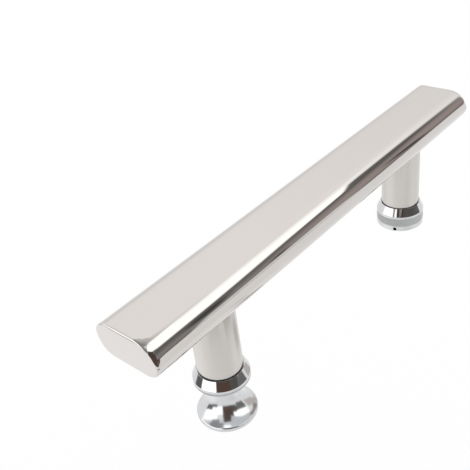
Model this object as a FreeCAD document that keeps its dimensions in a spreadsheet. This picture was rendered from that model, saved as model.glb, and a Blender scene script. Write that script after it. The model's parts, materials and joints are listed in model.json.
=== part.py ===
import FreeCAD, Part
import math
import os
import Sketcher

# Shower door handle: a flat-oval bar on two posts, clamped through a glass door by a knob and a flat cap.
# X runs along the bar with the knob at -X, Z points from the glass out to the bar, lengths are in mm.
# The origin is midway between the two fixing holes, on the outer face of the glass.

SIZES = (
    ("post_pitch", 145.0, "between the two fixing holes in the glass"),
    ("bar_length", 226.0, "over both end plates"),
    ("bar_width", 31.0, "across the bar"),
    ("bar_thickness", 15.0, "through the bar, also the diameter of its round edges"),
    ("bar_wall", 1.2, "wall of the bar tube"),
    ("bar_reach", 53.1, "glass to the outer flat of the bar"),
    ("end_plate_thickness", 2.0, "plate welded over each end of the bar"),
    ("end_edge_radius", 1.8, "polished edge of an end plate"),
    ("post_diameter", 19.0, "round post under the bar"),
    ("post_foot_chamfer", 0.3, "edge of the post's foot"),
    ("collar_spread", 2.45, "collar rim beyond the post, also sets the cap's edge"),
    ("collar_height", 5.15, "collar from gasket to lip"),
    ("collar_rim_height", 1.1, "upright rim below the collar's chamfer"),
    ("collar_rim_radius", 0.25, "rounding between rim and chamfer"),
    ("collar_floor", 1.0, "floor that the post stands on"),
    ("collar_lip", 0.15, "flat lip round the top of the collar"),
    ("collar_fit", 0.05, "radial play of the post in the collar"),
    ("shadow_gap_width", 0.45, "groove between post and lip, radially"),
    ("shadow_gap_depth", 1.4, "groove between post and lip, downwards"),
    ("gasket_thickness", 1.0, "each thin clear gasket"),
    ("cap_gasket_thickness", 3.5, "thick clear gasket between glass and cap"),
    ("sleeve_wall", 2.6, "wall of the clear sleeve in the glass hole"),
    ("sleeve_reach", 1.5, "sleeve past the inner gasket into the knob"),
    ("sleeve_clearance", 0.1, "radial play round the sleeve"),
    ("sleeve_end_gap", 0.3, "room beyond the end of the sleeve"),
    ("stud_diameter", 6.0, "fixing thread, major diameter"),
    ("stud_fit", 0.05, "radial play of the thread"),
    ("stud_sleeve_gap", 0.2, "radial play between stud and sleeve"),
    ("stud_chamfer", 0.5, "pointed end of a thread"),
    ("post_engagement", 10.0, "thread length inside a post"),
    ("knob_engagement", 8.0, "thread length inside the knob"),
    ("drill_allowance", 1.5, "tapped hole beyond its thread"),
    ("drill_point_ratio", 0.6, "height of a drill point over its radius"),
    ("knob_diameter", 26.0, "disc of the knob"),
    ("knob_height", 19.2, "seat of the knob to the edge of its face"),
    ("knob_rim_height", 2.2, "edge of the disc"),
    ("knob_edge_radius", 1.0, "rounding of the disc's edges"),
    ("knob_face_rise", 0.8, "crown of the knob's face"),
    ("knob_seat_diameter", 18.0, "flange of the knob against its gasket"),
    ("knob_seat_thickness", 1.2, "thickness of that flange"),
    ("knob_neck_wall", 1.3, "wall of the neck beside the sleeve recess"),
    ("knob_flare_radius", 13.0, "hollow curve from neck to disc"),
    ("cap_thickness", 2.75, "disc of the cap"),
    ("cap_edge_radius", 0.3, "edge of the cap's face"),
    ("cap_hole_diameter", 1.8, "cross hole that takes a pin to tighten the cap"),
    ("cap_hole_height", 1.3, "cross hole above the cap's face"),
    ("cap_hole_angle", 163.0, "turn of the tightened cross hole, in degrees, seen facing the cap"),
)

doc = FreeCAD.newDocument("shower_door_handle")
sheet = doc.addObject("Spreadsheet::Sheet", "Sizes")
for row, (alias, number, meaning) in enumerate(SIZES, start=1):
    sheet.set(f"A{row}", meaning)
    sheet.set(f"B{row}", str(number))
    sheet.setAlias(f"B{row}", alias)
doc.recompute()

# Sizes that follow from the driving ones
BAR_AXIS = "(Sizes.bar_reach - Sizes.bar_thickness / 2)"
POST_X = {"knob_side": "-Sizes.post_pitch / 2", "cap_side": "Sizes.post_pitch / 2"}
POST_RADIUS = "(Sizes.post_diameter / 2)"
POST_FOOT = "(Sizes.gasket_thickness + Sizes.collar_floor)"
POST_TO_BAR_AXIS = f"({BAR_AXIS} - {POST_FOOT})"
COLLAR_RADIUS = f"({POST_RADIUS} + Sizes.collar_spread)"
GAP_RADIUS = f"({POST_RADIUS} + Sizes.shadow_gap_width)"
STUD_RADIUS = "(Sizes.stud_diameter / 2)"
TAPPED_RADIUS = f"({STUD_RADIUS} + Sizes.stud_fit)"
DRILL_POINT = f"({TAPPED_RADIUS} * Sizes.drill_point_ratio)"
SLEEVE_BORE = f"({STUD_RADIUS} + Sizes.stud_sleeve_gap)"
SLEEVE_RADIUS = f"({SLEEVE_BORE} + Sizes.sleeve_wall)"
SLEEVE_HOLE = f"({SLEEVE_RADIUS} + Sizes.sleeve_clearance)"
CLAMP_STACK = "(Sizes.collar_floor + 2 * Sizes.gasket_thickness)"
RECESS_DEPTH = "(Sizes.sleeve_reach + Sizes.sleeve_end_gap)"

UPSIDE_DOWN = FreeCAD.Rotation(FreeCAD.Vector(1, 0, 0), 180)
TURNED_ROUND = FreeCAD.Rotation(FreeCAD.Vector(0, 0, 1), 180)
UPRIGHT = FreeCAD.Rotation()
TOLERANCE = 1e-4
LEAST_CUT = 1.0
bodies = []


def number_of(formula):
    """Return the number that a size formula gives."""
    return float(sheet.evalExpression(formula))


def new_body(label, x_formula, z_formula, rotation=UPRIGHT):
    """Add a body whose place follows the sizes."""
    body = doc.addObject("PartDesign::Body", label)
    body.Label = label
    body.Placement = FreeCAD.Placement(FreeCAD.Vector(), rotation)
    body.setExpression("Placement.Base.x", x_formula)
    body.setExpression("Placement.Base.z", z_formula)
    bodies.append(body)
    return body


def new_sketch(body, name, role):
    """Add a sketch on one of the body's own origin planes."""
    sketch = body.newObject("Sketcher::SketchObject", name)
    plane = next(item for item in body.Origin.OriginFeatures if item.Role == role)
    sketch.AttachmentSupport = [(plane, "")]
    sketch.MapMode = "FlatFace"
    return sketch


def constrain(sketch, kind, *terms, formula):
    """Add a dimension to a sketch and bind it to a size formula."""
    index = sketch.addConstraint(Sketcher.Constraint(kind, *terms, number_of(formula)))
    sketch.setExpression(f"Constraints[{index}]", formula)


def arc_between(start, end, radius, hollow):
    """Return the smaller arc from start to end, hollow or crowned, with the solid on the left of the way."""
    chord = end - start
    to_right = FreeCAD.Vector(chord.y, -chord.x, 0).normalize()
    rise = math.sqrt(radius ** 2 - (chord.Length / 2) ** 2)
    centre = (start + end) * 0.5 + to_right * (rise if hollow else -rise)
    start_angle = math.atan2(start.y - centre.y, start.x - centre.x)
    end_angle = math.atan2(end.y - centre.y, end.x - centre.x)
    circle = Part.Circle(centre, FreeCAD.Vector(0, 0, 1), radius)
    if hollow:
        return Part.ArcOfCircle(circle, end_angle, start_angle)
    return Part.ArcOfCircle(circle, start_angle, end_angle)


def closed_outline(sketch, corners, hollows=None, crowns=None):
    """Draw an outline through corner formulas; the sides named in hollows or crowns are arcs of a radius."""
    hollows = hollows or {}
    crowns = crowns or {}
    points = [FreeCAD.Vector(number_of(across), number_of(along), 0) for across, along in corners]
    first_ends = []
    last_ends = []
    for side, start in enumerate(points):
        end = points[(side + 1) % len(points)]
        if side in hollows:
            sketch.addGeometry(arc_between(start, end, number_of(hollows[side]), True), False)
        elif side in crowns:
            sketch.addGeometry(arc_between(start, end, number_of(crowns[side]), False), False)
        else:
            sketch.addGeometry(Part.LineSegment(start, end), False)
        first_ends.append(2 if side in hollows else 1)
        last_ends.append(1 if side in hollows else 2)
    for side, (across, along) in enumerate(corners):
        previous = (side - 1) % len(corners)
        here = first_ends[side]
        sketch.addConstraint(Sketcher.Constraint("Coincident", previous, last_ends[previous], side, here))
        if across == "0":
            sketch.addConstraint(Sketcher.Constraint("PointOnObject", side, here, -2))
        else:
            constrain(sketch, "DistanceX", -1, 1, side, here, formula=across)
        if along == "0":
            sketch.addConstraint(Sketcher.Constraint("PointOnObject", side, here, -1))
        else:
            constrain(sketch, "DistanceY", -1, 1, side, here, formula=along)
    for side, radius_formula in {**hollows, **crowns}.items():
        constrain(sketch, "Radius", side, formula=radius_formula)


def flat_oval(sketch, inset=None):
    """Draw the bar's section about the sketch origin, drawn in by an inset if one is given."""
    radius_formula = "Sizes.bar_thickness / 2" + (f" - {inset}" if inset else "")
    centres_formula = "Sizes.bar_width - Sizes.bar_thickness"
    radius = number_of(radius_formula)
    half = number_of(centres_formula) / 2
    normal = FreeCAD.Vector(0, 0, 1)
    left_circle = Part.Circle(FreeCAD.Vector(-half, 0, 0), normal, radius)
    right_circle = Part.Circle(FreeCAD.Vector(half, 0, 0), normal, radius)
    left = sketch.addGeometry(Part.ArcOfCircle(left_circle, math.pi / 2, 3 * math.pi / 2), False)
    right = sketch.addGeometry(Part.ArcOfCircle(right_circle, -math.pi / 2, math.pi / 2), False)
    upper_line = Part.LineSegment(FreeCAD.Vector(-half, radius, 0), FreeCAD.Vector(half, radius, 0))
    lower_line = Part.LineSegment(FreeCAD.Vector(-half, -radius, 0), FreeCAD.Vector(half, -radius, 0))
    upper = sketch.addGeometry(upper_line, False)
    lower = sketch.addGeometry(lower_line, False)
    sketch.addConstraint(Sketcher.Constraint("Tangent", left, 1, upper, 1))
    sketch.addConstraint(Sketcher.Constraint("Tangent", left, 2, lower, 1))
    sketch.addConstraint(Sketcher.Constraint("Tangent", right, 2, upper, 2))
    sketch.addConstraint(Sketcher.Constraint("Tangent", right, 1, lower, 2))
    sketch.addConstraint(Sketcher.Constraint("Equal", left, right))
    sketch.addConstraint(Sketcher.Constraint("PointOnObject", left, 3, -1))
    sketch.addConstraint(Sketcher.Constraint("Symmetric", left, 3, right, 3, -1, 1))
    constrain(sketch, "DistanceX", left, 3, right, 3, formula=centres_formula)
    constrain(sketch, "Radius", left, formula=radius_formula)


def pad(body, name, sketch, length_formula):
    """Extrude a sketch along its own normal."""
    feature = body.newObject("PartDesign::Pad", name)
    feature.Profile = sketch
    feature.setExpression("Length", length_formula)
    return feature


def turn(body, name, corners, hollows=None, crowns=None):
    """Turn a half section about the body's Z axis."""
    sketch = new_sketch(body, f"{name}_section", "XZ_Plane")
    closed_outline(sketch, corners, hollows, crowns)
    feature = body.newObject("PartDesign::Revolution", name)
    feature.Profile = sketch
    feature.ReferenceAxis = (sketch, ["V_Axis"])
    feature.Angle = 360.0
    return feature


def round_edges(body, name, base, radius_formula, wanted):
    """Fillet the edges of a feature that the test picks out."""
    doc.recompute()
    names = [f"Edge{index}" for index, edge in enumerate(base.Shape.Edges, start=1) if wanted(edge)]
    feature = body.newObject("PartDesign::Fillet", name)
    feature.Base = (base, names)
    feature.setExpression("Radius", radius_formula)
    return feature


def circle_at(radius_formula, height_formula):
    """Return a test for the round edge of that radius at that height."""
    radius = number_of(radius_formula)
    height = number_of(height_formula)

    def wanted(edge):
        """Tell whether an edge is that circle."""
        if edge.Degenerated or not isinstance(edge.Curve, Part.Circle):
            return False
        level = abs(edge.CenterOfMass.z - height) < TOLERANCE
        return level and abs(edge.Curve.Radius - radius) < TOLERANCE

    return wanted


def bar_tube():
    """Make the polished oval tube that the hand holds."""
    body = new_body("bar_tube", "-Sizes.bar_length / 2 + Sizes.end_plate_thickness", BAR_AXIS)
    sketch = new_sketch(body, "bar_section", "YZ_Plane")
    flat_oval(sketch)
    flat_oval(sketch, "Sizes.bar_wall")
    pad(body, "bar_pad", sketch, "Sizes.bar_length - 2 * Sizes.end_plate_thickness")


def end_plate(label, x_formula, rotation):
    """Make the plate that closes one end of the bar, its outer edge rounded."""
    body = new_body(label, x_formula, BAR_AXIS, rotation)
    sketch = new_sketch(body, f"{label}_section", "YZ_Plane")
    flat_oval(sketch)
    plate = pad(body, f"{label}_pad", sketch, "Sizes.end_plate_thickness")
    round_edges(
        body, f"{label}_edge", plate, "Sizes.end_edge_radius",
        lambda edge: abs(edge.BoundBox.XMax) < TOLERANCE,
    )


def post(side):
    """Make a post with a tapped foot and a top coped to the bar's underside."""
    label = f"{side}_post"
    hole_depth = "(Sizes.post_engagement + Sizes.drill_allowance)"
    body = new_body(label, POST_X[side], POST_FOOT)
    shaft = turn(body, f"{label}_turned", (
        (TAPPED_RADIUS, "0"),
        (f"{POST_RADIUS} - Sizes.post_foot_chamfer", "0"),
        (POST_RADIUS, "Sizes.post_foot_chamfer"),
        (POST_RADIUS, POST_TO_BAR_AXIS),
        ("0", POST_TO_BAR_AXIS),
        ("0", f"{hole_depth} + {DRILL_POINT}"),
        (TAPPED_RADIUS, hole_depth),
    ))
    doc.recompute()
    cope_section = new_sketch(body, f"{label}_cope_section", "YZ_Plane")
    cope_section.setExpression("AttachmentOffset.Base.y", POST_TO_BAR_AXIS)
    flat_oval(cope_section)
    cope = body.newObject("PartDesign::Pocket", f"{label}_cope")
    cope.Profile = cope_section
    cope.Type = "ThroughAll"
    cope.SideType = "Symmetric"
    doc.recompute()
    if cope.Shape.Volume > shaft.Shape.Volume - LEAST_CUT:
        raise RuntimeError(f"{label}: the cope cuts nothing")


def collar(side):
    """Make the bright cup ring round a post's foot."""
    label = f"{side}_collar"
    body = new_body(label, POST_X[side], "Sizes.gasket_thickness")
    bore = f"{POST_RADIUS} + Sizes.collar_fit"
    gap_floor = "Sizes.collar_height - Sizes.shadow_gap_depth"
    ring_body = turn(body, f"{label}_turned", (
        (SLEEVE_HOLE, "0"),
        (COLLAR_RADIUS, "0"),
        (COLLAR_RADIUS, "Sizes.collar_rim_height"),
        (f"{GAP_RADIUS} + Sizes.collar_lip", "Sizes.collar_height"),
        (GAP_RADIUS, "Sizes.collar_height"),
        (GAP_RADIUS, gap_floor),
        (bore, gap_floor),
        (bore, "Sizes.collar_floor"),
        (SLEEVE_HOLE, "Sizes.collar_floor"),
    ))
    round_edges(
        body, f"{label}_rim_edge", ring_body, "Sizes.collar_rim_radius",
        circle_at(COLLAR_RADIUS, "Sizes.collar_rim_height"),
    )


def flat_ring(label, side, z_formula, outer_formula, inner_formula, height_formula):
    """Make a plain ring: a gasket or a sleeve."""
    body = new_body(label, POST_X[side], z_formula)
    sketch = new_sketch(body, f"{label}_section", "XY_Plane")
    for formula in (outer_formula, inner_formula):
        circle = Part.Circle(FreeCAD.Vector(), FreeCAD.Vector(0, 0, 1), number_of(formula))
        index = sketch.addGeometry(circle, False)
        sketch.addConstraint(Sketcher.Constraint("Coincident", index, 3, -1, 1))
        constrain(sketch, "Radius", index, formula=formula)
    pad(body, f"{label}_pad", sketch, height_formula)


def clamped_rings(side, seat_radius, inner_thickness, sleeve_past):
    """Make the two gaskets of one fixing and the sleeve, which ends at that length past the inner gasket."""
    sleeve_length = f"{POST_FOOT} + {inner_thickness} + {sleeve_past}"
    flat_ring(f"{side}_outer_gasket", side, "0", COLLAR_RADIUS, SLEEVE_HOLE, "Sizes.gasket_thickness")
    flat_ring(f"{side}_inner_gasket", side, f"-{inner_thickness}", seat_radius, SLEEVE_HOLE, inner_thickness)
    flat_ring(
        f"{side}_sleeve", side, f"{POST_FOOT} - ({sleeve_length})",
        SLEEVE_RADIUS, SLEEVE_BORE, sleeve_length,
    )


def knob_stud():
    """Make the threaded stud between post and knob, plain at its major diameter."""
    inside_knob = f"({RECESS_DEPTH} + Sizes.knob_engagement)"
    length = f"(Sizes.post_engagement + {CLAMP_STACK} + {inside_knob})"
    body = new_body("knob_stud", POST_X["knob_side"], f"-Sizes.gasket_thickness - {inside_knob}")
    point = f"{STUD_RADIUS} - Sizes.stud_chamfer"
    turn(body, "knob_stud_turned", (
        ("0", "0"),
        (point, "0"),
        (STUD_RADIUS, "Sizes.stud_chamfer"),
        (STUD_RADIUS, f"{length} - Sizes.stud_chamfer"),
        (point, length),
        ("0", length),
    ))


def knob():
    """Make the knob: seat flange, hollow flare from neck to disc, rounded edge, crowned face."""
    body = new_body("knob", POST_X["knob_side"], "-Sizes.gasket_thickness", UPSIDE_DOWN)
    knob_radius = "(Sizes.knob_diameter / 2)"
    seat_radius = "(Sizes.knob_seat_diameter / 2)"
    rim_top = "Sizes.knob_height - Sizes.knob_rim_height"
    face_centre = "Sizes.knob_height + Sizes.knob_face_rise"
    face_radius = f"({knob_radius} ^ 2 + Sizes.knob_face_rise ^ 2) / (2 * Sizes.knob_face_rise)"
    hole_depth = f"({RECESS_DEPTH} + Sizes.knob_engagement + Sizes.drill_allowance)"
    flare_side = 5
    face_side = 7
    turned = turn(body, "knob_turned", (
        (TAPPED_RADIUS, RECESS_DEPTH),
        (SLEEVE_HOLE, RECESS_DEPTH),
        (SLEEVE_HOLE, "0"),
        (seat_radius, "0"),
        (seat_radius, "Sizes.knob_seat_thickness"),
        (f"{SLEEVE_HOLE} + Sizes.knob_neck_wall", "Sizes.knob_seat_thickness"),
        (knob_radius, rim_top),
        (knob_radius, "Sizes.knob_height"),
        ("0", face_centre),
        ("0", f"{hole_depth} + {DRILL_POINT}"),
        (TAPPED_RADIUS, hole_depth),
    ), {flare_side: "Sizes.knob_flare_radius"}, {face_side: face_radius})
    upper = circle_at(knob_radius, rim_top)
    lower = circle_at(knob_radius, "Sizes.knob_height")
    round_edges(
        body, "knob_rim_edges", turned, "Sizes.knob_edge_radius",
        lambda edge: upper(edge) or lower(edge),
    )


def cap_screw():
    """Make the flat cap with its shank, and a cross hole through its disc."""
    shank = f"(Sizes.post_engagement + {POST_FOOT} + Sizes.cap_gasket_thickness)"
    face = f"({shank} + Sizes.cap_thickness)"
    body = new_body("cap_screw", POST_X["cap_side"], f"{POST_FOOT} + Sizes.post_engagement", UPSIDE_DOWN)
    turned = turn(body, "cap_turned", (
        ("0", "0"),
        (f"{STUD_RADIUS} - Sizes.stud_chamfer", "0"),
        (STUD_RADIUS, "Sizes.stud_chamfer"),
        (STUD_RADIUS, shank),
        (COLLAR_RADIUS, shank),
        (COLLAR_RADIUS, face),
        ("0", face),
    ))
    rounded = round_edges(
        body, "cap_face_edge", turned, "Sizes.cap_edge_radius", circle_at(COLLAR_RADIUS, face),
    )
    doc.recompute()
    section = new_sketch(body, "cap_hole_section", "XZ_Plane")
    turn_formula = "Sizes.cap_hole_angle - 90"
    section.AttachmentOffset = FreeCAD.Placement(
        FreeCAD.Vector(), FreeCAD.Rotation(FreeCAD.Vector(0, 1, 0), number_of(turn_formula)),
    )
    section.setExpression("AttachmentOffset.Rotation.Angle", turn_formula)
    centre = f"({face} - Sizes.cap_hole_height)"
    radius = "Sizes.cap_hole_diameter / 2"
    circle = Part.Circle(
        FreeCAD.Vector(0, number_of(centre), 0), FreeCAD.Vector(0, 0, 1), number_of(radius),
    )
    index = section.addGeometry(circle, False)
    section.addConstraint(Sketcher.Constraint("PointOnObject", index, 3, -2))
    constrain(section, "DistanceY", -1, 1, index, 3, formula=centre)
    constrain(section, "Radius", index, formula=radius)
    hole = body.newObject("PartDesign::Pocket", "cap_hole")
    hole.Profile = section
    hole.Type = "ThroughAll"
    hole.SideType = "Symmetric"
    doc.recompute()
    if hole.Shape.Volume > rounded.Shape.Volume - LEAST_CUT:
        raise RuntimeError("cap_screw: the cross hole cuts nothing")


bar_tube()
end_plate("knob_end_plate", "-Sizes.bar_length / 2", UPRIGHT)
end_plate("cap_end_plate", "Sizes.bar_length / 2", TURNED_ROUND)
for side, seat_radius, inner_thickness, sleeve_past in (
    ("knob_side", "Sizes.knob_seat_diameter / 2", "Sizes.gasket_thickness", "Sizes.sleeve_reach"),
    ("cap_side", COLLAR_RADIUS, "Sizes.cap_gasket_thickness", "(-Sizes.sleeve_end_gap)"),
):
    post(side)
    collar(side)
    clamped_rings(side, seat_radius, inner_thickness, sleeve_past)
knob_stud()
knob()
cap_screw()
doc.recompute()

for item in doc.Objects:
    if "Invalid" in item.State or "Error" in item.State:
        raise RuntimeError(f"{item.Label}: {item.State}")
for body in bodies:
    if body.Shape.isNull() or not body.Shape.isValid() or len(body.Shape.Solids) != 1:
        raise RuntimeError(f"{body.Label}: no single valid solid")

os.makedirs("parts", exist_ok=True)
for body in bodies:
    body.Shape.exportStep(os.path.join("parts", f"{body.Label}.step"))
    print(body.Label, f"{body.Shape.Volume:.1f} mm3")
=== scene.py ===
"""Shower door handle: the looks of its bar, posts, collars, knob and cap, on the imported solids.

Lengths are in metres in the solids' own frame: X runs along the bar with the knob at -X, and Z from the
glass to the bar. A tone is a level of red, green and blue, where 1 is the white of the background.
"""

from __future__ import annotations

import json
import logging
import math
from abc import ABC, abstractmethod
from collections.abc import Sequence
from dataclasses import dataclass, replace
from enum import Enum

import bpy
from bpy.types import Material, Mesh, Node, NodeOutputs, NodeSocket as Socket, NodeTree, Object
from mathutils import Matrix, Vector

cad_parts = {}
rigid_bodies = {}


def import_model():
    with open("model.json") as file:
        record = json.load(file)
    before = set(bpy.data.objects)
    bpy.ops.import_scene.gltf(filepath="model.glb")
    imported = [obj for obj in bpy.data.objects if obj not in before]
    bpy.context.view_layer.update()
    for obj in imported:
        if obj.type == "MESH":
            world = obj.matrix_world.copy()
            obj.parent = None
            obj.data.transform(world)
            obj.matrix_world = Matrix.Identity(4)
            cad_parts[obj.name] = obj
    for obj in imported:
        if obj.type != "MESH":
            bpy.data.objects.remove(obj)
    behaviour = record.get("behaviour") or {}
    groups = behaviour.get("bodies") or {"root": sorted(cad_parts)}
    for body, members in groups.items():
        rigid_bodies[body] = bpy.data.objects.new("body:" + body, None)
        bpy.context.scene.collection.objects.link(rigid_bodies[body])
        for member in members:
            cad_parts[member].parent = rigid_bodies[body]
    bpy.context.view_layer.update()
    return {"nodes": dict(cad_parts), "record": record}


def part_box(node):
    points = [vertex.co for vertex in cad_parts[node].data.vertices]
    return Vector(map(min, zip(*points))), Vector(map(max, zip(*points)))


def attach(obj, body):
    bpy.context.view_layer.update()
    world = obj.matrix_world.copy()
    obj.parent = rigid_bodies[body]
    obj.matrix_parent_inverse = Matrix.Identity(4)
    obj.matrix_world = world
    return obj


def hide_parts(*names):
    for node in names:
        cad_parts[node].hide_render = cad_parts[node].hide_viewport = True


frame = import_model()

LOG = logging.getLogger("shower_door_handle")
MM = 0.001
MICRON_DIGITS = 6
BODY = "root"
FOOT_AXIS = frame["record"]["mounts"][0]["dims"]["spacing_x_mm"] / 2 * MM

Colour = tuple[float, float, float]
Triple = tuple[float, float, float]
Span = tuple[float, float]
Stop = tuple[float, Colour]
Feeds = dict[int | str, object]


def grey(level: float) -> Colour:
    """Return a neutral tone."""
    return (level, level, level)


class Board:
    """A node tree with short ways to add nodes and join them."""

    # Places of the colour sockets on a Mix node, whose names repeat
    MIX_FIRST = 6
    MIX_SECOND = 7
    MIX_RESULT = 2

    def __init__(self, tree: NodeTree) -> None:
        """Keep the tree that the nodes go into."""
        self.tree = tree

    def feed(self, node: Node, feeds: Feeds) -> None:
        """Set the inputs of a node.

        Args:
            node: the node.
            feeds: input name or number to a socket that feeds it, or to a plain value.
        """
        for key, value in feeds.items():
            if isinstance(value, Socket):
                self.tree.links.new(value, node.inputs[key])
            else:
                node.inputs[key].default_value = value

    def node(self, kind: str, feeds: Feeds | None = None, **settings: object) -> Node:
        """Add a node.

        Args:
            kind: Blender's name of the node type.
            feeds: what its inputs get, as for feed.
            settings: properties of the node itself.

        Returns:
            The new node.
        """
        node = self.tree.nodes.new(kind)
        for name, value in settings.items():
            setattr(node, name, value)
        self.feed(node, feeds or {})
        return node

    def out(self, kind: str, feeds: Feeds | None = None, **settings: object) -> Socket:
        """Add a node and return its first output."""
        return self.node(kind, feeds, **settings).outputs[0]

    def math(self, operation: str, first: object, second: object = 0.0, clamp: bool = False) -> Socket:
        """Return the result of arithmetic on two numbers or sockets."""
        return self.out("ShaderNodeMath", {0: first, 1: second}, operation=operation, use_clamp=clamp)

    def plus(self, first: object, second: object) -> Socket:
        """Return the sum of two numbers or sockets."""
        return self.math("ADD", first, second)

    def minus(self, first: object, second: object) -> Socket:
        """Return the first number or socket less the second."""
        return self.math("SUBTRACT", first, second)

    def times(self, first: object, second: object) -> Socket:
        """Return the product of two numbers or sockets."""
        return self.math("MULTIPLY", first, second)

    def over(self, first: object, second: object) -> Socket:
        """Return the first number or socket divided by the second."""
        return self.math("DIVIDE", first, second)

    def squares(self, first: Socket, second: Socket) -> Socket:
        """Return the sum of two squares."""
        return self.plus(self.times(first, first), self.times(second, second))

    def rest_of_one(self, share: Socket) -> Socket:
        """Return what a share leaves of 1, held between 0 and 1."""
        return self.math("SUBTRACT", 1.0, share, True)

    def split(self, socket: Socket) -> NodeOutputs:
        """Return the X, Y and Z sockets of a vector."""
        return self.node("ShaderNodeSeparateXYZ", {0: socket}).outputs

    def join(self, x: object, y: object, z: object) -> Socket:
        """Return a vector made of three numbers or sockets."""
        return self.out("ShaderNodeCombineXYZ", {0: x, 1: y, 2: z})

    def spread(
        self, value: Socket, low: object, high: object, start: float = 0.0, end: float = 1.0,
    ) -> Socket:
        """Return a value from start to end laid out evenly between two others."""
        spans = {"Value": value, "From Min": start, "From Max": end, "To Min": low, "To Max": high}
        return self.out("ShaderNodeMapRange", spans)

    def step(self, value: Socket, start: object, end: object) -> Socket:
        """Return a soft step from 0 at the start to 1 at the end."""
        span = {"Value": value, "From Min": start, "From Max": end}
        return self.out("ShaderNodeMapRange", span, interpolation_type="SMOOTHSTEP")

    @staticmethod
    def colour(tone: object) -> object:
        """Return a plain tone as a full colour, and a socket as it is."""
        return (*tone, 1.0) if isinstance(tone, tuple) else tone

    def blend(self, share: object, first: object, second: object) -> Socket:
        """Return a mix of two colours, given as sockets or as plain tones."""
        feeds = {0: share, self.MIX_FIRST: self.colour(first), self.MIX_SECOND: self.colour(second)}
        return self.node("ShaderNodeMix", feeds, data_type="RGBA").outputs[self.MIX_RESULT]

    def ramp(self, value: Socket, stops: Sequence[Stop]) -> Socket:
        """Colour a value by a row of stops.

        Args:
            value: a number from 0 to 1.
            stops: places from 0 to 1 in rising order, each with its tone.

        Returns:
            The colour.
        """
        node = self.node("ShaderNodeValToRGB", {0: value})
        row = node.color_ramp.elements
        for spot, _tone in stops[len(row):]:
            row.new(spot)
        for item, (spot, tone) in zip(row, stops):
            item.position, item.color = spot, self.colour(tone)
        return node.outputs[0]

    def place(self) -> Socket:
        """Return the place of a point in the frame."""
        return self.node("ShaderNodeTexCoord").outputs["Object"]

    def paint_place(self) -> NodeOutputs:
        """Return the place of a point in the paint of a panel or card, across and up."""
        return self.split(self.node("ShaderNodeTexCoord").outputs["UV"])

    def noise(self, place: Socket, scale: object, detail: float, roughness: float = 0.5) -> Socket:
        """Return the level of a noise at a place."""
        look = {"Vector": place, "Scale": scale, "Detail": detail, "Roughness": roughness}
        return self.out("ShaderNodeTexNoise", look)

    def glow(self, tone: object, strength: object = 1.0) -> Socket:
        """Return the shader of a glow in a colour, given as a socket or as a plain tone."""
        return self.out("ShaderNodeEmission", {"Color": self.colour(tone), "Strength": strength})

    def masked(self, mask: Socket, shader: Socket) -> Socket:
        """Return a shader that is clear where a mask is 0."""
        clear = self.out("ShaderNodeBsdfTransparent")
        return self.out("ShaderNodeMixShader", {0: mask, 1: clear, 2: shader})


class Grain(Enum):
    """Which way the fine marks of a finish run."""

    ALONG_BAR = "along the bar"
    TURNED = "round the foot's own axis"
    EVEN = "every way alike"


class SharedGroups:
    """Shader groups that more than one finish uses, each built once."""

    LINE_DETAIL = 4.0
    LINE_ROUGHNESS = 0.65
    LINE_SHARE = 0.6
    SMUDGE_SCALE = 55.0
    SMUDGE_DETAIL = 3.0
    SMUDGE_ROUGHNESS = 0.55
    SMUDGE_SHARE = 0.4
    LIGHTEST_AT = 0.3
    DARKEST_AT = 0.7

    def __init__(self) -> None:
        """Build the groups."""
        self.turned = self._turned_coordinates()
        self.marks = self._surface_marks()

    def _turned_coordinates(self) -> NodeTree:
        """Build the group that gives the radius from the nearer foot's axis, and the height.

        Returns:
            The group.
        """
        tree = bpy.data.node_groups.new("turned_coordinates", "ShaderNodeTree")
        tree.interface.new_socket("Coordinates", in_out="OUTPUT", socket_type="NodeSocketVector")
        board = Board(tree)
        spot = board.split(board.place())
        across = board.minus(board.math("ABSOLUTE", spot[0]), FOOT_AXIS)
        radius = board.math("SQRT", board.squares(across, spot[1]))
        board.node("NodeGroupOutput", {0: board.join(radius, 0.0, spot[2])})
        return tree

    def _surface_marks(self) -> NodeTree:
        """Build the group that lays fine lines and faint smudges over a finish.

        Returns:
            The group.
        """
        tree = bpy.data.node_groups.new("surface_marks", "ShaderNodeTree")
        vector, number, colour = "NodeSocketVector", "NodeSocketFloat", "NodeSocketColor"
        inputs = {
            "Coordinates": vector, "Stretch": vector, "Line Scale": number,
            "Smooth": number, "Rough": number, "Light": colour, "Dark": colour,
        }
        outputs = {"Colour": colour, "Roughness": number, "Height": number}
        for way, sockets in (("INPUT", inputs), ("OUTPUT", outputs)):
            for name, kind in sockets.items():
                tree.interface.new_socket(name, in_out=way, socket_type=kind)
        board = Board(tree)
        given = board.node("NodeGroupInput").outputs
        pair = {0: given["Coordinates"], 1: given["Stretch"]}
        stretched = board.out("ShaderNodeVectorMath", pair, operation="MULTIPLY")
        lines = board.noise(stretched, given["Line Scale"], self.LINE_DETAIL, self.LINE_ROUGHNESS)
        smudges = board.noise(board.place(), self.SMUDGE_SCALE, self.SMUDGE_DETAIL, self.SMUDGE_ROUGHNESS)
        both = board.plus(board.times(lines, self.LINE_SHARE), board.times(smudges, self.SMUDGE_SHARE))
        tone = board.spread(both, 0.0, 1.0, self.LIGHTEST_AT, self.DARKEST_AT)
        board.node("NodeGroupOutput", {
            "Colour": board.blend(tone, given["Light"], given["Dark"]),
            "Roughness": board.spread(tone, given["Smooth"], given["Rough"]),
            "Height": lines,
        })
        return tree


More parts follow.
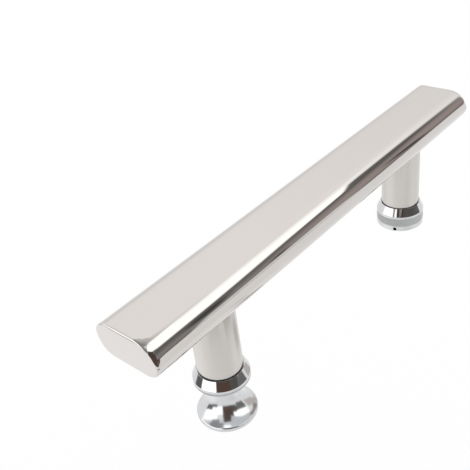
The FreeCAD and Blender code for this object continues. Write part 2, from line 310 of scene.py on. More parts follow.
@dataclass(frozen=True)
class Finish(ABC):
    """What every finish has: its slot in the record, a lighter and a darker tone, and its fine marks."""

    name: str
    slot: str
    light: Colour
    dark: Colour
    smooth: float
    rough: float
    grain: Grain
    line_scale: float

    SHADER = "Principled BSDF"
    LONG_LINES = (0.012, 1.0, 1.0)
    EVEN_LINES = (1.0, 1.0, 1.0)

    @abstractmethod
    def material(self, groups: SharedGroups) -> Material:
        """Build the finish with the shared groups and return its material."""

    def begin(self, groups: SharedGroups) -> tuple[Material, Board, Node]:
        """Begin the material, with the fine marks in its colour and roughness.

        Args:
            groups: the shared shader groups.

        Returns:
            The material, its board and the node of its marks.
        """
        made = bpy.data.materials.new(self.name)
        made.use_nodes = True
        board = Board(made.node_tree)
        turned = self.grain is Grain.TURNED
        place = board.out("ShaderNodeGroup", node_tree=groups.turned) if turned else board.place()
        stretch = self.LONG_LINES if self.grain is Grain.ALONG_BAR else self.EVEN_LINES
        marks = board.node("ShaderNodeGroup", {
            "Coordinates": place, "Stretch": stretch, "Line Scale": self.line_scale,
            "Smooth": self.smooth, "Rough": self.rough,
            "Light": board.colour(self.light), "Dark": board.colour(self.dark),
        }, node_tree=groups.marks)
        board.feed(made.node_tree.nodes[self.SHADER], {
            "Base Color": marks.outputs["Colour"], "Roughness": marks.outputs["Roughness"],
        })
        return made, board, marks


@dataclass(frozen=True)
class MetalFinish(Finish):
    """A bare or plated metal with fine marks from polishing, brushing or turning."""

    relief: float
    anisotropy: float = 0.0
    anisotropy_turn: float = 0.0
    swell: float = 0.0

    RELIEF_DEPTH = 0.02 * MM
    SWELL_SCALE = 240.0
    SWELL_DETAIL = 1.0

    def material(self, groups: SharedGroups) -> Material:
        """Build the finish.

        Args:
            groups: the shared shader groups.

        Returns:
            The material.
        """
        made, board, marks = self.begin(groups)
        bump = board.node("ShaderNodeBump", {
            "Height": marks.outputs["Height"], "Strength": self.relief, "Distance": self.RELIEF_DEPTH,
        })
        if self.swell:
            waves = board.noise(board.place(), self.SWELL_SCALE, self.SWELL_DETAIL)
            relief = {"Height": waves, "Strength": 1.0, "Distance": self.swell}
            board.feed(bump, {"Normal": board.out("ShaderNodeBump", relief)})
        board.feed(made.node_tree.nodes[self.SHADER], {
            "Normal": bump.outputs["Normal"], "Metallic": 1.0,
            "Anisotropic": self.anisotropy, "Anisotropic Rotation": self.anisotropy_turn,
        })
        return made


@dataclass(frozen=True)
class VinylFinish(Finish):
    """Clear soft vinyl, a little hazy."""

    transmission: float
    ior: float = 1.5

    def material(self, groups: SharedGroups) -> Material:
        """Build the finish.

        Args:
            groups: the shared shader groups.

        Returns:
            The material.
        """
        made, board, _marks = self.begin(groups)
        shader = made.node_tree.nodes[self.SHADER]
        board.feed(shader, {"Transmission Weight": self.transmission, "IOR": self.ior})
        return made


# The handle's finishes
POLISHED_STEEL = MetalFinish(
    "polished_steel", "polished_steel", (0.655, 0.632, 0.612), (0.635, 0.612, 0.592),
    smooth=0.05, rough=0.09, grain=Grain.ALONG_BAR, line_scale=2600.0, relief=0.05,
)
SATIN_STEEL = MetalFinish(
    "satin_steel", "satin_steel", (0.63, 0.608, 0.582), (0.60, 0.578, 0.552),
    smooth=0.20, rough=0.25, grain=Grain.TURNED, line_scale=1800.0, relief=0.10,
    anisotropy=0.65, anisotropy_turn=0.25,
)
BRIGHT_CHROME = MetalFinish(
    "bright_chrome", "bright_chrome", (0.675, 0.68, 0.69), (0.65, 0.655, 0.665),
    smooth=0.025, rough=0.05, grain=Grain.TURNED, line_scale=1500.0, relief=0.03,
)
KNOB_CHROME = replace(BRIGHT_CHROME, name="knob_chrome", smooth=0.12, rough=0.17, swell=0.03 * MM)
STUD_STEEL = MetalFinish(
    "stud_steel", "stud_steel", (0.56, 0.56, 0.54), (0.46, 0.46, 0.45),
    smooth=0.25, rough=0.4, grain=Grain.TURNED, line_scale=900.0, relief=0.2,
)
CLEAR_VINYL = VinylFinish(
    "clear_vinyl", "clear_vinyl", (0.61, 0.62, 0.62), (0.53, 0.54, 0.54),
    smooth=0.18, rough=0.32, grain=Grain.EVEN, line_scale=220.0, transmission=0.35,
)
FINISHES = (POLISHED_STEEL, SATIN_STEEL, BRIGHT_CHROME, KNOB_CHROME, STUD_STEEL, CLEAR_VINYL)


class OvalSweep:
    """Geometry tree that sweeps the bar's flat-oval section, hollow or solid, with polished ends.

    FRONT_FROM and BACK_FROM say how far across the bar the front and back edges begin and are in full, and
    BELOW_FROM does it for the lower edge, by how far a wall faces down.
    """

    NUMBERS = (
        "Start", "End", "Width", "Thickness", "Wall", "Axis Height", "Bar Length",
        "Top Radius", "Back Radius", "Base Radius", "Roll Length", "Roll Depth",
    )
    COUNTS = ("Stations", "Section Points", "Inner Points")
    WELD = 1e-7
    SKIN = 1e-5
    CAP_LEVEL = 0.9999
    CORNER_POINTS = 72
    FULL_ROUND = 0.49999
    ROLL_POWER = 3.0
    FRONT_FROM = (5.0 * MM, 11.5 * MM)
    BACK_FROM = (4.0 * MM, 11.0 * MM)
    BELOW_FROM = (-0.37, 0.12)
    STAND_UP = (-math.pi / 2, 0.0, -math.pi / 2)

    def __init__(self) -> None:
        """Build the tree with its named inputs."""
        self.tree = bpy.data.node_groups.new("oval_sweep", "GeometryNodeTree")
        self.ids: dict[str, str] = {}
        for names, kind in ((self.NUMBERS, "NodeSocketFloat"), (self.COUNTS, "NodeSocketInt")):
            for name in names:
                self._socket(name, kind)
        self._socket("Material", "NodeSocketMaterial")
        self.tree.interface.new_socket("Geometry", in_out="OUTPUT", socket_type="NodeSocketGeometry")
        self.board = Board(self.tree)
        self.given = self.board.node("NodeGroupInput").outputs
        self._build()

    def _socket(self, name: str, kind: str) -> None:
        """Add one named input and keep its identifier."""
        made = self.tree.interface.new_socket(name, in_out="INPUT", socket_type=kind)
        self.ids[name] = made.identifier

    def _merged(self, parts: Sequence[Socket]) -> Socket:
        """Put geometries together.

        Args:
            parts: the geometries, in order.

        Returns:
            All of them as one.
        """
        node = self.board.node("GeometryNodeJoinGeometry")
        for part in parts:
            self.tree.links.new(part, node.inputs[0])
        return node.outputs[0]

    def _section(self, inset: object, points: Socket) -> Socket:
        """Draw the flat oval.

        Args:
            inset: how far it lies inside the bar's outline.
            points: how many points divide it evenly.

        Returns:
            The closed curve.
        """
        board = self.board
        twice = board.times(inset, 2.0)
        high = board.minus(self.given["Thickness"], twice)
        wide = board.minus(self.given["Width"], twice)
        box = board.out("GeometryNodeCurvePrimitiveQuadrilateral", {"Width": wide, "Height": high})
        rounded = board.out("GeometryNodeFilletCurve", {
            "Curve": box, "Count": self.CORNER_POINTS, "Limit Radius": True,
            "Radius": board.times(high, self.FULL_ROUND),
        }, mode="POLY")
        return board.out("GeometryNodeResampleCurve", {"Curve": rounded, "Count": points})

    def _path(self) -> tuple[Socket, Socket]:
        """Draw the axis of the sweep.

        Returns:
            The plain line, and the same line divided closely towards both ends.
        """
        board, given = self.board, self.given
        line = board.out("GeometryNodeCurvePrimitiveLine", {
            "Start": board.join(given["Start"], 0.0, given["Axis Height"]),
            "End": board.join(given["End"], 0.0, given["Axis Height"]),
        })
        even = board.out("GeometryNodeResampleCurve", {"Curve": line, "Count": given["Stations"]})
        middle = board.times(board.plus(given["Start"], given["End"]), 0.5)
        half = board.times(board.minus(given["End"], given["Start"]), 0.5)
        place = board.split(board.out("GeometryNodeInputPosition"))
        share = board.over(board.minus(place[0], middle), half)
        eased = board.math("SINE", board.times(share, math.pi / 2))
        moved = board.join(board.plus(middle, board.times(half, eased)), place[1], place[2])
        return line, board.out("GeometryNodeSetPosition", {"Geometry": even, "Position": moved})

    def _inset(self) -> Socket:
        """Round the edge of an end: crisp along the top and the back, rolled over at the front.

        Returns:
            The move of each point.
        """
        board, given = self.board, self.given
        place = board.split(board.out("GeometryNodeInputPosition"))
        flat_half = board.times(board.minus(given["Width"], given["Thickness"]), 0.5)
        low = board.times(flat_half, -1.0)
        nearest = board.math("MINIMUM", board.math("MAXIMUM", place[1], low), flat_half)
        out = board.join(0.0, board.minus(place[1], nearest), board.minus(place[2], given["Axis Height"]))
        reach = board.node("ShaderNodeVectorMath", {0: out}, operation="LENGTH").outputs["Value"]
        normal = board.out("ShaderNodeVectorMath", {0: out}, operation="NORMALIZE")
        front = board.step(board.times(place[1], -1.0), *self.FRONT_FROM)
        below = board.step(board.times(board.split(normal)[2], -1.0), *self.BELOW_FROM)
        back = board.step(place[1], *self.BACK_FROM)
        upper = board.spread(back, given["Top Radius"], given["Back Radius"])
        crisp = board.spread(below, upper, given["Base Radius"])
        rolled = board.times(front, board.minus(1.0, below))
        half_bar = board.times(given["Bar Length"], 0.5)
        from_end = board.minus(half_bar, board.math("ABSOLUTE", place[0]))
        into = board.rest_of_one(board.over(from_end, crisp))
        under = board.rest_of_one(board.times(into, into))
        rounded = board.times(crisp, board.minus(1.0, board.math("SQRT", under)))
        past = board.rest_of_one(board.over(from_end, given["Roll Length"]))
        eased = board.times(board.math("POWER", past, self.ROLL_POWER), given["Roll Depth"])
        edge = board.spread(rolled, rounded, eased)
        skin = board.plus(board.times(given["Wall"], 0.5), self.SKIN)
        outer_from = board.minus(board.times(given["Thickness"], 0.5), skin)
        outer = board.math("GREATER_THAN", reach, outer_from)
        amount = board.times(board.times(edge, outer), -1.0)
        return board.out("ShaderNodeVectorMath", {0: normal, "Scale": amount}, operation="SCALE")

    def _tube(self, line: Socket, skin: Socket, outline: Socket) -> Socket:
        """Make a hollow length: its skin, its lining and a ring at each end.

        Args:
            line: the plain axis.
            skin: the outer wall.
            outline: the section of the outer wall.

        Returns:
            The tube.
        """
        board, given = self.board, self.given
        hollow = self._section(given["Wall"], given["Inner Points"])
        inner = board.out("GeometryNodeCurveToMesh", {"Curve": line, "Profile Curve": hollow})
        parts = [skin, board.out("GeometryNodeFlipFaces", {"Mesh": inner})]
        ring = board.out("GeometryNodeFillCurve", {"Curve": self._merged((outline, hollow))})
        for end, flipped in (("Start", True), ("End", False)):
            stood = board.out("GeometryNodeTransform", {
                "Geometry": ring, "Rotation": self.STAND_UP,
                "Translation": board.join(given[end], 0.0, given["Axis Height"]),
            })
            parts.append(board.out("GeometryNodeFlipFaces", {"Mesh": stood}) if flipped else stood)
        return self._merged(parts)

    def _build(self) -> None:
        """Make a tube and a solid length, take the one that is wanted, and shape and finish its ends."""
        board, given = self.board, self.given
        line, path = self._path()
        outline = self._section(0.0, given["Section Points"])
        sweep = {"Curve": path, "Profile Curve": outline}
        solid = board.out("GeometryNodeCurveToMesh", {**sweep, "Fill Caps": True})
        tube = self._tube(line, board.out("GeometryNodeCurveToMesh", sweep), outline)
        chosen = board.out("GeometryNodeSwitch", {
            "Switch": board.math("GREATER_THAN", given["Wall"], 0.0), "False": solid, "True": tube,
        }, input_type="GEOMETRY")
        welded = board.out("GeometryNodeMergeByDistance", {"Geometry": chosen, "Distance": self.WELD})
        shaped = board.out("GeometryNodeSetPosition", {"Geometry": welded, "Offset": self._inset()})
        facing = board.split(board.out("GeometryNodeInputNormal"))[0]
        curved = board.math("LESS_THAN", board.math("ABSOLUTE", facing), self.CAP_LEVEL)
        smooth = board.out("GeometryNodeSetShadeSmooth", {"Geometry": shaped, "Shade Smooth": curved})
        real = board.out("GeometryNodeRealizeInstances", {"Geometry": smooth})
        dressed = board.out("GeometryNodeSetMaterial", {"Geometry": real, "Material": given["Material"]})
        board.node("NodeGroupOutput", {0: dressed})

    def make(self, name: str, material: Material, values: dict[str, float]) -> Object:
        """Run the tree once and keep its result as a plain mesh.

        Args:
            name: the new piece's name.
            material: its finish.
            values: input name to number.

        Returns:
            The piece, at the origin.
        """
        holder = bpy.data.objects.new(f"{name}_sweep", bpy.data.meshes.new(f"{name}_sweep"))
        bpy.context.scene.collection.objects.link(holder)
        modifier = holder.modifiers.new("oval_sweep", "NODES")
        modifier.node_group = self.tree
        for key, value in values.items():
            modifier[self.ids[key]] = value
        modifier[self.ids["Material"]] = material
        graph = bpy.context.evaluated_depsgraph_get()
        mesh = bpy.data.meshes.new_from_object(holder.evaluated_get(graph), depsgraph=graph)
        bpy.data.objects.remove(holder)
        mesh.name = name
        piece = bpy.data.objects.new(name, mesh)
        bpy.context.scene.collection.objects.link(piece)
        return piece


@dataclass(frozen=True)
class Bar:
    """The oval bar: a polished tube with a plate over each end."""

    length: float
    width: float
    thickness: float
    reach: float
    plate: float
    wall: float = 1.2 * MM
    top_radius: float = 0.95 * MM
    back_radius: float = 0.45 * MM
    base_radius: float = 1.1 * MM
    roll_length: float = 4.5 * MM
    roll_depth: float = 1.3 * MM
    section_points: int = 288
    inner_points: int = 96
    tube_stations: int = 160
    plate_stations: int = 40

    @classmethod
    def from_frame(cls) -> Bar:
        """Take the outer sizes from the end plates in the frame.

        Returns:
            The bar.
        """
        near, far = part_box("knob_end_plate"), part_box("cap_end_plate")
        size = far[1] - near[0]
        sizes = {
            "length": size.x, "width": size.y, "thickness": size.z,
            "reach": far[1].z, "plate": near[1].x - near[0].x,
        }
        return cls(**{name: round(number, MICRON_DIGITS) for name, number in sizes.items()})

    def build(self, sweep: OvalSweep, finish: Material) -> list[Object]:
        """Make the tube and the plates from one section.

        Args:
            sweep: the geometry tree for the section.
            finish: the polished finish.

        Returns:
            The three pieces.
        """
        half = self.length / 2
        common = {
            "Width": self.width, "Thickness": self.thickness,
            "Axis Height": self.reach - self.thickness / 2, "Bar Length": self.length,
            "Top Radius": self.top_radius, "Back Radius": self.back_radius,
            "Base Radius": self.base_radius,
            "Roll Length": self.roll_length, "Roll Depth": self.roll_depth,
            "Section Points": self.section_points, "Inner Points": self.inner_points,
        }
        pieces: list[Object] = []
        for node, start, end, wall, stations in (
            ("bar_tube", -half + self.plate, half - self.plate, self.wall, self.tube_stations),
            ("knob_end_plate", -half, -half + self.plate, 0.0, self.plate_stations),
            ("cap_end_plate", half - self.plate, half, 0.0, self.plate_stations),
        ):
            piece = sweep.make(f"{node}_polished", finish, {
                **common, "Start": start, "End": end, "Wall": wall, "Stations": stations,
            })
            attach(piece, BODY)
            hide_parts(node)
            pieces.append(piece)
        return pieces


@dataclass(frozen=True)
class Foot:
    """One foot: post, collar, gaskets, sleeve and what screws into it, all in the solids' own shapes."""

    side: str
    fixings: dict[str, Finish]

    PARTS = {
        "post": SATIN_STEEL, "collar": BRIGHT_CHROME, "outer_gasket": CLEAR_VINYL,
        "inner_gasket": CLEAR_VINYL, "sleeve": CLEAR_VINYL,
    }

    def dress(self, finishes: dict[Finish, Material]) -> list[Object]:
        """Give the foot's nodes their finishes.

        Args:
            finishes: each finish and its material.

        Returns:
            The dressed nodes.
        """
        parts = {f"{self.side}_{part}": finish for part, finish in self.PARTS.items()}
        pieces: list[Object] = []
        for node, finish in {**parts, **self.fixings}.items():
            piece = frame["nodes"][node]
            piece.material_slots[0].material = finishes[finish]
            pieces.append(piece)
        return pieces


class StagePiece(ABC):
    """A piece of the stage, which isn't part of the handle."""

    name: str

    ONLY_REFLECTED = True

    @abstractmethod
    def mesh(self) -> Mesh:
        """Return the piece's shape, in its place."""

    @abstractmethod
    def surface(self, board: Board) -> Socket:
        """Return the piece's shader, made on a board."""

    def build(self) -> None:
        """Make the piece, and hide it from all but reflections where it is a panel or a card."""
        material = bpy.data.materials.new(self.name)
        material.use_nodes = True
        material.node_tree.nodes.clear()
        board = Board(material.node_tree)
        board.node("ShaderNodeOutputMaterial", {"Surface": self.surface(board)})
        mesh = self.mesh()
        mesh.materials.append(material)
        piece = bpy.data.objects.new(self.name, mesh)
        bpy.context.scene.collection.objects.link(piece)
        if self.ONLY_REFLECTED:
            piece.visible_camera = False
            piece.visible_diffuse = False
            piece.visible_shadow = False


def flat_mesh(name: str, corners: Sequence[Triple]) -> Mesh:
    """Make a mesh of one face.

    Args:
        name: its name.
        corners: its four corners in order.

    Returns:
        The mesh.
    """
    mesh = bpy.data.meshes.new(name)
    mesh.from_pydata(corners, [], [(0, 1, 2, 3)])
    return mesh


def level_corners(x: Span, y: Span, level: float) -> list[Triple]:
    """Return the corners of a level rectangle."""
    (left, right), (front, back) = x, y
    return [(left, front, level), (right, front, level), (right, back, level), (left, back, level)]


def lay_paint(mesh: Mesh, spots: Sequence[Span]) -> None:
    """Give each vertex of a mesh its place in the paint.

    Args:
        mesh: the mesh.
        spots: the place for each vertex, across and up.
    """
    layer = mesh.uv_layers.new(name="paint")
    for loop in mesh.loops:
        layer.data[loop.index].uv = spots[loop.vertex_index]


class Fade(Enum):
    """Which way a panel's tone changes."""

    NONE = "even"
    ACROSS = "across"
    UP = "up"


@dataclass(frozen=True)
class Soft:
    """How far a panel fades in from each of its edges, in degrees."""

    start: float = 0.0
    end: float = 0.0
    bottom: float = 0.0
    top: float = 0.0


@dataclass(frozen=True)
class Panel(StagePiece):
    """A studio panel on a sphere round the handle or a part of it. Its angles are in degrees."""

    name: str
    azimuth: Span
    elevation: Span
    tone: Colour
    end_tone: Colour | None = None
    fade: Fade = Fade.NONE
    radius: float = 1.5
    centre: Triple = (0.0, 0.0, 20.0 * MM)
    soft: Soft = Soft()

    STEPS = 24

    def mesh(self) -> Mesh:
        """Make a patch of the sphere.

        Returns:
            The mesh, with its place in the paint from 0 to 1 across and up.
        """
        centre = Vector(self.centre)
        verts: list[Vector] = []
        spots: list[Span] = []
        for row in range(self.STEPS + 1):
            for column in range(self.STEPS + 1):
                across, up = column / self.STEPS, row / self.STEPS
                turn = math.radians(self.azimuth[0] + across * (self.azimuth[1] - self.azimuth[0]))
                lift = math.radians(self.elevation[0] + up * (self.elevation[1] - self.elevation[0]))
                verts.append(centre + self.radius * Vector((
                    math.cos(lift) * math.cos(turn), math.cos(lift) * math.sin(turn), math.sin(lift),
                )))
                spots.append((across, up))
        wide = self.STEPS + 1
        firsts = [row * wide + column for row in range(self.STEPS) for column in range(self.STEPS)]
        faces = [(first, first + wide, first + wide + 1, first + 1) for first in firsts]
        mesh = bpy.data.meshes.new(self.name)
        mesh.from_pydata(verts, [], faces)
        lay_paint(mesh, spots)
        return mesh

    def surface(self, board: Board) -> Socket:
        """Make the panel's glow, even or fading.

        Args:
            board: the board of its material.

        Returns:
            The shader.
        """
        tone: object = self.tone
        if self.fade is not Fade.NONE:
            spot = board.paint_place()
            tone = board.blend(spot[0 if self.fade is Fade.ACROSS else 1], self.tone, self.end_tone)
        shader = board.glow(tone)
        return shader if self.soft == Soft() else board.masked(self._mask(board), shader)

    def _mask(self, board: Board) -> Socket:
        """Make a mask that fades the panel out over its soft edges.

        Args:
            board: the board of its material.

        Returns:
            The mask, 1 where the panel shows in full.
        """
        spot, soft = board.paint_place(), self.soft
        mask: object = 1.0
        for way, (low, high), start, end in (
            (spot[0], self.azimuth, soft.start, soft.end),
            (spot[1], self.elevation, soft.bottom, soft.top),
        ):
            if start:
                mask = board.times(mask, board.step(way, 0.0, start / (high - low)))
            if end:
                mask = board.times(mask, board.step(way, 1.0, 1.0 - end / (high - low)))
        return mask


# Places and tones that the panels and cards share
NEAR_FOOT = (-FOOT_AXIS, 0.0, 0.0)
KNOB_NECK = (-FOOT_AXIS, 0.0, -10.0 * MM)
KNOB_MIDDLE = (-FOOT_AXIS, 0.0, -12.0 * MM)
BAR_END = (-113.0 * MM, -10.0 * MM, 50.0 * MM)
WHITE = grey(1.0)
DAYLIGHT = grey(1.62)
WINDOW = grey(1.6)
SCREEN = (1.11, 1.09, 1.075)
SILL = (0.10, 0.095, 0.09)
BROWN = (0.117, 0.073, 0.058)
SHADE = (0.15, 0.145, 0.14)
PANELS = (
    Panel("back_screen_low", (5.0, 80.0), (2.0, 36.0), (0.79, 0.78, 0.77), SCREEN, Fade.UP),
    Panel("back_screen", (8.0, 80.0), (36.0, 60.0), SCREEN),
    Panel("back_screen_turn", (-22.0, 8.0), (20.0, 53.0), (0.88, 0.87, 0.86), (1.47, 1.46, 1.45), Fade.UP),
    Panel("top_light", (-62.0, -20.0), (36.0, 68.0), DAYLIGHT),
    Panel(
        "top_light_end", (-20.0, 10.0), (48.0, 68.0), DAYLIGHT, grey(1.3), Fade.ACROSS,
        radius=1.48, soft=Soft(bottom=6.0),
    ),
    Panel(
        "top_light_cap", (-165.0, 14.0), (66.0, 87.0), DAYLIGHT,
        radius=1.47, soft=Soft(start=4.0, end=14.0),
    ),
    Panel(
        "tip_light", (-162.0, -100.0), (44.0, 72.0), DAYLIGHT,
        radius=0.07, centre=BAR_END, soft=Soft(start=5.0, bottom=3.0),
    ),
    Panel(
        "tip_shade", (172.0, 203.0), (30.0, 56.0), grey(0.3),
        radius=0.075, centre=BAR_END, soft=Soft(start=8.0, bottom=3.0, top=8.0),
    ),
    Panel(
        "flag_top", (-160.0, -112.0), (18.0, 46.0), (0.10, 0.085, 0.08),
        radius=1.42, soft=Soft(start=4.0, end=4.0, top=3.0),
    ),
    Panel("right_window", (-122.0, -38.0), (10.0, 44.0), WINDOW, soft=Soft(end=8.0, top=9.0)),
    Panel(
        "sill_turn", (-144.0, -120.0), (-6.0, 21.0), (0.15, 0.095, 0.075), SILL, Fade.ACROSS,
        radius=1.45, soft=Soft(start=5.0, bottom=4.0, top=3.0),
    ),
    Panel(
        "right_sill", (-121.0, -92.0), (-11.0, 17.0), (0.11, 0.105, 0.10),
        radius=1.44, soft=Soft(bottom=4.0, top=1.5),
    ),
    Panel(
        "right_sill_end", (-92.0, -40.0), (-4.0, 13.5), SILL, grey(0.17), Fade.ACROSS,
        radius=1.44, soft=Soft(end=7.0, bottom=2.0, top=2.0),
    ),
    Panel(
        "knob_sill", (-86.0, -44.0), (-12.0, 11.0), (0.19, 0.185, 0.18),
        radius=0.085, centre=KNOB_MIDDLE, soft=Soft(end=6.0, bottom=4.0, top=2.0),
    ),
    Panel(
        "collar_side", (-42.0, -4.0), (-24.0, -3.0), (0.62, 0.58, 0.56),
        radius=0.05, centre=NEAR_FOOT, soft=Soft(5.0, 6.0, 4.0, 3.0),
    ),
    Panel(
        "brown_flag", (-161.0, -107.0), (-2.0, 46.0), BROWN, (0.088, 0.066, 0.058), Fade.UP,
        radius=0.30, centre=KNOB_NECK, soft=Soft(4.0, 4.0, 3.0, 9.0),
    ),
    Panel(
        "brown_flag_foot", (-161.0, -109.0), (-11.0, 5.0), BROWN,
        radius=0.10, centre=KNOB_MIDDLE, soft=Soft(4.0, 4.0, 5.0, 1.0),
    ),
    Panel(
        "left_window", (118.0, 174.0), (-10.0, 34.0), grey(1.66),
        soft=Soft(start=6.0, bottom=3.0, top=7.0),
    ),
    Panel(
        "left_window_end", (172.0, 206.0), (-14.0, 21.0), WINDOW,
        soft=Soft(end=3.0, bottom=6.0, top=7.0),
    ),
    Panel(
        "left_sill", (112.0, 147.0), (-19.0, 1.0), (0.14, 0.14, 0.145),
        radius=0.55, centre=NEAR_FOOT, soft=Soft(8.0, 2.0, 5.0, 3.0),
    ),
    Panel(
        "left_sill_end", (145.0, 173.0), (-21.0, -6.0), grey(0.20),
        radius=0.56, centre=NEAR_FOOT, soft=Soft(end=5.0, bottom=5.0, top=4.0),
    ),
    Panel(
        "ceiling", (100.0, 300.0), (36.0, 85.0), (0.78, 0.80, 0.82),
        radius=1.55, soft=Soft(start=10.0, end=10.0),
    ),
)


@dataclass(frozen=True)
class OverheadCard(StagePiece):
    """A dark level card high over the near end of the bar, with soft edges."""

    name: str = "overhead_card"
    level: float = 0.40
    x: Span = (-0.75, 0.083)
    y: Span = (-0.04, 0.29)
    soft_x: Span = (0.10, 0.028)
    soft_y: Span = (0.045, 0.05)
    lean_from: Span = (-0.20, 0.05)
    lean: float = 0.042
    tone: Colour = (0.33, 0.33, 0.34)
    end_tone: Colour = (0.70, 0.69, 0.68)
    fade: Span = (-0.25, 0.05)

    def mesh(self) -> Mesh:
        """Return the level rectangle."""
        return flat_mesh(self.name, level_corners(self.x, self.y, self.level))

    def surface(self, board: Board) -> Socket:
        """Make the glow, lighter towards the far end, with the front edge leaning back there.

        Args:
            board: the board of its material.

        Returns:
            The shader.
        """
        spot = board.split(board.place())
        leaned = board.times(board.step(spot[0], *self.lean_from), self.lean)
        mask: object = 1.0
        for low_at, high_at, (low, high), (low_soft, high_soft) in (
            (spot[0], spot[0], self.x, self.soft_x),
            (board.minus(spot[1], leaned), spot[1], self.y, self.soft_y),
        ):
            mask = board.times(mask, board.step(low_at, low, low + low_soft))
            mask = board.times(mask, board.step(high_at, high, high - high_soft))
        tone = board.blend(board.step(spot[0], *self.fade), self.tone, self.end_tone)
        return board.masked(mask, board.glow(tone))


@dataclass(frozen=True)
class ShelfCard(StagePiece):
    """A level card beside the near foot, pale above for the bar and grey below for the knob."""

    name: str = "shelf_card"
    level: float = 28.0 * MM
    corners: tuple[Span, ...] = ((-0.120, -0.078), (-0.032, -0.060), (-0.032, -0.028), (-0.098, -0.028))
    above: Colour = (0.95, 0.95, 0.94)
    below: Colour = (0.68, 0.70, 0.72)

    def mesh(self) -> Mesh:
        """Return the level face."""
        return flat_mesh(self.name, [(x, y, self.level) for x, y in self.corners])

    def surface(self, board: Board) -> Socket:
        """Return a glow in the tone of each side."""
        behind = board.node("ShaderNodeNewGeometry").outputs["Backfacing"]
        return board.glow(board.blend(behind, self.above, self.below))


@dataclass(frozen=True)
class Spot:
    """A dark soft oval in the side card's paint, in its millimetres, leaning up or down along the card."""

    along: float
    up: float
    wide: float
    high: float
    lean: float = 0.0


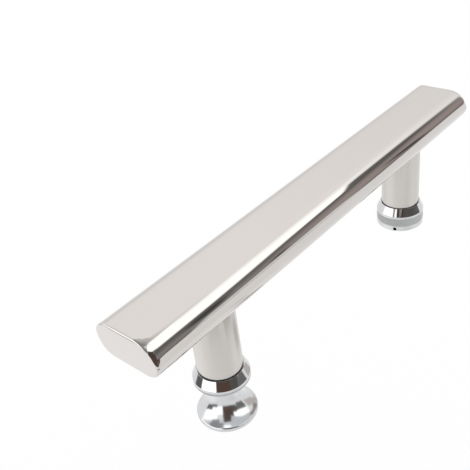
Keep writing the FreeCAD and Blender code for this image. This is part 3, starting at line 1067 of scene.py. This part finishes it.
@dataclass(frozen=True)
class SideCard(StagePiece):
    """An upright card beside the bar, whose painted bands make the stripes along the bar's round edge.

    Its paint is laid out in millimetres: along the card from its near mark, and up from the glass. Dark
    bands lie under a white field. The edge between them rises towards the near end, steps up in the middle
    and slants up towards the far end, where the bands open into light. A pale foot runs along the bottom.
    """

    name: str = "side_card"
    near: Span = (-80.0, -92.0)
    far: Span = (220.0, -36.0)
    along: Span = (-60.0, 330.0)
    bottom: Span = (46.0, 42.0)
    top: float = 330.0
    band_top: float = 116.0
    near_rise_from: float = 58.0
    near_rise: float = 0.31
    middle_from: Span = (70.0, 125.0)
    middle_rise: float = 7.0
    slant_from: Span = (180.0, 132.0)
    slant: float = 1.02
    soft_from: Span = (130.0, 190.0)
    soft: Span = (12.0, 3.0)
    corner_along: Span = (140.0, 190.0)
    corner_up: Span = (88.0, 110.0)
    open_from: Span = (248.0, 332.0)
    open_lean: float = 0.45
    open_level: float = 95.0
    band_turn: Span = (40.0, 150.0)
    foot_level: Span = (42.0, 55.0)
    foot_rise: Span = (18.0, 36.0)
    foot_fall: Span = (165.0, 120.0)
    foot_soft: float = 3.0
    white: Colour = DAYLIGHT
    open_light: Colour = (1.16, 1.14, 1.12)
    foot_light: Colour = (0.93, 0.93, 0.92)
    spot_tone: Colour = grey(0.07)
    near_band: tuple[Stop, ...] = (
        (0.40, (0.24, 0.22, 0.21)), (0.55, (0.31, 0.295, 0.29)), (0.70, (0.215, 0.205, 0.20)),
        (0.85, SHADE),
    )
    far_band: tuple[Stop, ...] = (
        (0.38, (0.27, 0.235, 0.225)), (0.43, (0.27, 0.235, 0.225)), (0.49, (0.41, 0.35, 0.335)),
        (0.62, (0.41, 0.35, 0.335)), (0.70, (0.36, 0.31, 0.30)), (0.84, (0.24, 0.22, 0.21)), (0.95, SHADE),
    )
    spots: tuple[Spot, ...] = (
        Spot(40.0, 81.0, 18.0, 22.0), Spot(86.0, 64.0, 9.0, 6.0), Spot(190.0, 59.0, 24.0, 9.0, -0.45),
    )

    def mesh(self) -> Mesh:
        """Make the upright face.

        Returns:
            The mesh, with its paint in millimetres.
        """
        near, far = Vector(self.near), Vector(self.far)
        way = (far - near).normalized()
        (start, end), (low, low_end) = self.along, self.bottom
        spots = [(start, low), (end, low_end), (end, self.top), (start, self.top)]
        mesh = flat_mesh(self.name, [Vector((*(near + way * along), up)) * MM for along, up in spots])
        lay_paint(mesh, spots)
        return mesh

    def _bands(self, board: Board, along: Socket, up: Socket) -> Socket:
        """Paint the dark level bands, with their darker spots and their pale foot.

        Args:
            board: the board of the card's material.
            along: the place along the card.
            up: the place up the card.

        Returns:
            The colour.
        """
        height = board.over(up, self.band_top)
        turn = board.step(along, *self.band_turn)
        tone = board.blend(turn, board.ramp(height, self.near_band), board.ramp(height, self.far_band))
        for spot in self.spots:
            offset = board.minus(along, spot.along)
            centre = board.plus(board.times(offset, spot.lean), spot.up)
            upward = board.over(board.minus(up, centre), spot.high)
            gap = board.squares(board.over(offset, spot.wide), upward)
            tone = board.blend(board.step(gap, 1.0, 0.0), tone, self.spot_tone)
        lifted = board.times(board.step(along, *self.foot_rise), board.step(along, *self.foot_fall))
        foot = board.spread(lifted, *self.foot_level)
        low = board.step(up, board.plus(foot, self.foot_soft), board.minus(foot, self.foot_soft))
        return board.blend(low, tone, self.foot_light)

    def _edge(self, board: Board, along: Socket) -> Socket:
        """Lay out the top edge of the bands.

        Args:
            board: the board of the card's material.
            along: the place along the card.

        Returns:
            The edge's height there.
        """
        slant_start, slant_level = self.slant_from
        line = board.plus(board.times(board.minus(along, slant_start), self.slant), slant_level)
        to_near = board.math("MAXIMUM", board.minus(self.near_rise_from, along), 0.0)
        level = board.plus(board.times(to_near, self.near_rise), self.band_top)
        raised = board.times(board.step(along, *self.middle_from), self.middle_rise)
        return board.math("MAXIMUM", line, board.plus(level, raised))

    def surface(self, board: Board) -> Socket:
        """Make the painted glow.

        Args:
            board: the board of its material.

        Returns:
            The shader.
        """
        along, up = board.paint_place()[:2]
        corner = board.times(board.step(up, *self.corner_up), board.step(along, *self.corner_along))
        painted = board.blend(corner, self._bands(board, along, up), SHADE)
        lead = board.times(board.minus(up, self.open_level), self.open_lean)
        opening = board.step(board.plus(along, lead), *self.open_from)
        fading = board.blend(opening, painted, self.open_light)
        edge = self._edge(board, along)
        soft = board.spread(along, *self.soft, *self.soft_from)
        above = board.step(up, board.minus(edge, soft), board.plus(edge, soft))
        return board.glow(board.blend(above, fading, self.white))


@dataclass(frozen=True)
class LevelSquare(StagePiece):
    """A wide level square below the handle."""

    name: str
    level: float
    half: float

    def mesh(self) -> Mesh:
        """Return the square."""
        side = (-self.half, self.half)
        return flat_mesh(self.name, level_corners(side, side, self.level))


@dataclass(frozen=True)
class Patch:
    """A soft round patch on the table card: its middle, its reach and what it adds to the tone."""

    x: float
    y: float
    reach: float
    gain: float


@dataclass(frozen=True)
class TableCard(LevelSquare):
    """A card just over the floor, lighter and darker in soft patches."""

    name: str = "table_card"
    level: float = -0.27
    half: float = 11.0
    tone: float = 0.965
    core: float = 0.15
    patches: tuple[Patch, ...] = (
        Patch(-0.32, 0.32, 0.38, 0.16), Patch(-0.22, -0.26, 0.36, -0.03),
        Patch(-0.07, -0.46, 0.30, -0.10), Patch(0.12, -0.26, 0.22, 0.06),
    )

    def surface(self, board: Board) -> Socket:
        """Make the glow with its patches.

        Args:
            board: the board of its material.

        Returns:
            The shader.
        """
        spot = board.place()
        tone: object = self.tone
        for patch in self.patches:
            ends = {0: spot, 1: (patch.x, patch.y, self.level)}
            gap = board.node("ShaderNodeVectorMath", ends, operation="DISTANCE").outputs["Value"]
            share = board.step(gap, patch.reach, patch.reach * self.core)
            tone = board.plus(tone, board.times(share, patch.gain))
        return board.glow(WHITE, tone)


@dataclass(frozen=True)
class Floor(LevelSquare):
    """The pale floor."""

    name: str = "floor"
    level: float = -0.28
    half: float = 12.0
    tone: float = 0.97

    ONLY_REFLECTED = False

    def surface(self, board: Board) -> Socket:
        """Return pale paint that glows by as much as it falls short of white."""
        paint = board.out("ShaderNodeBsdfDiffuse", {"Color": board.colour(grey(self.tone))})
        return board.out("ShaderNodeAddShader", {0: paint, 1: board.glow(WHITE, 1.0 - self.tone)})


@dataclass(frozen=True)
class Studio:
    """Pale floor, even light, reflection panels and cards, and the camera."""

    light: float = 1.0
    eye: Triple = (-0.207675, -0.152709, 0.201870)
    eye_right: Triple = (0.64198, -0.75778, -0.11674)
    eye_up: Triple = (0.48770, 0.28611, 0.82480)
    lens: float = 52.82
    sensor: float = 36.0
    nearest: float = 10.0 * MM

    def build(self) -> None:
        """Set the stage, the light and the camera."""
        bpy.context.scene.view_settings.view_transform = "Standard"
        for piece in (Floor(), *PANELS, OverheadCard(), ShelfCard(), SideCard(), TableCard()):
            piece.build()
        self._light()
        self._camera()

    def _light(self) -> None:
        """Light the stage evenly from all round."""
        world = bpy.data.worlds.new("even_light")
        world.use_nodes = True
        board = Board(world.node_tree)
        back = world.node_tree.nodes["Background"]
        board.feed(back, {"Color": board.colour(WHITE), "Strength": self.light})
        bpy.context.scene.world = world

    def _camera(self) -> None:
        """Place the camera at the photograph's view."""
        right, up = Vector(self.eye_right).normalized(), Vector(self.eye_up).normalized()
        back = right.cross(up)
        data = bpy.data.cameras.new("camera")
        data.sensor_width = self.sensor
        data.lens = self.lens
        data.clip_start = self.nearest
        camera = bpy.data.objects.new("camera", data)
        bpy.context.scene.collection.objects.link(camera)
        turn = Matrix((right, up, back)).transposed().to_4x4()
        camera.matrix_world = Matrix.Translation(Vector(self.eye)) @ turn
        bpy.context.scene.camera = camera


def main() -> None:
    """Build the handle's looks in order and report each piece."""
    logging.basicConfig(level=logging.INFO, format="%(message)s")
    groups = SharedGroups()
    finishes = {finish: finish.material(groups) for finish in FINISHES}
    pieces = [
        *Bar.from_frame().build(OvalSweep(), finishes[POLISHED_STEEL]),
        *Foot("knob_side", {"knob_stud": STUD_STEEL, "knob": KNOB_CHROME}).dress(finishes),
        *Foot("cap_side", {"cap_screw": BRIGHT_CHROME}).dress(finishes),
    ]
    for piece in pieces:
        LOG.info("%s: %d faces, %s", piece.name, len(piece.data.polygons), piece.material_slots[0].name)
    Studio().build()


if __name__ == "__main__":
    main()
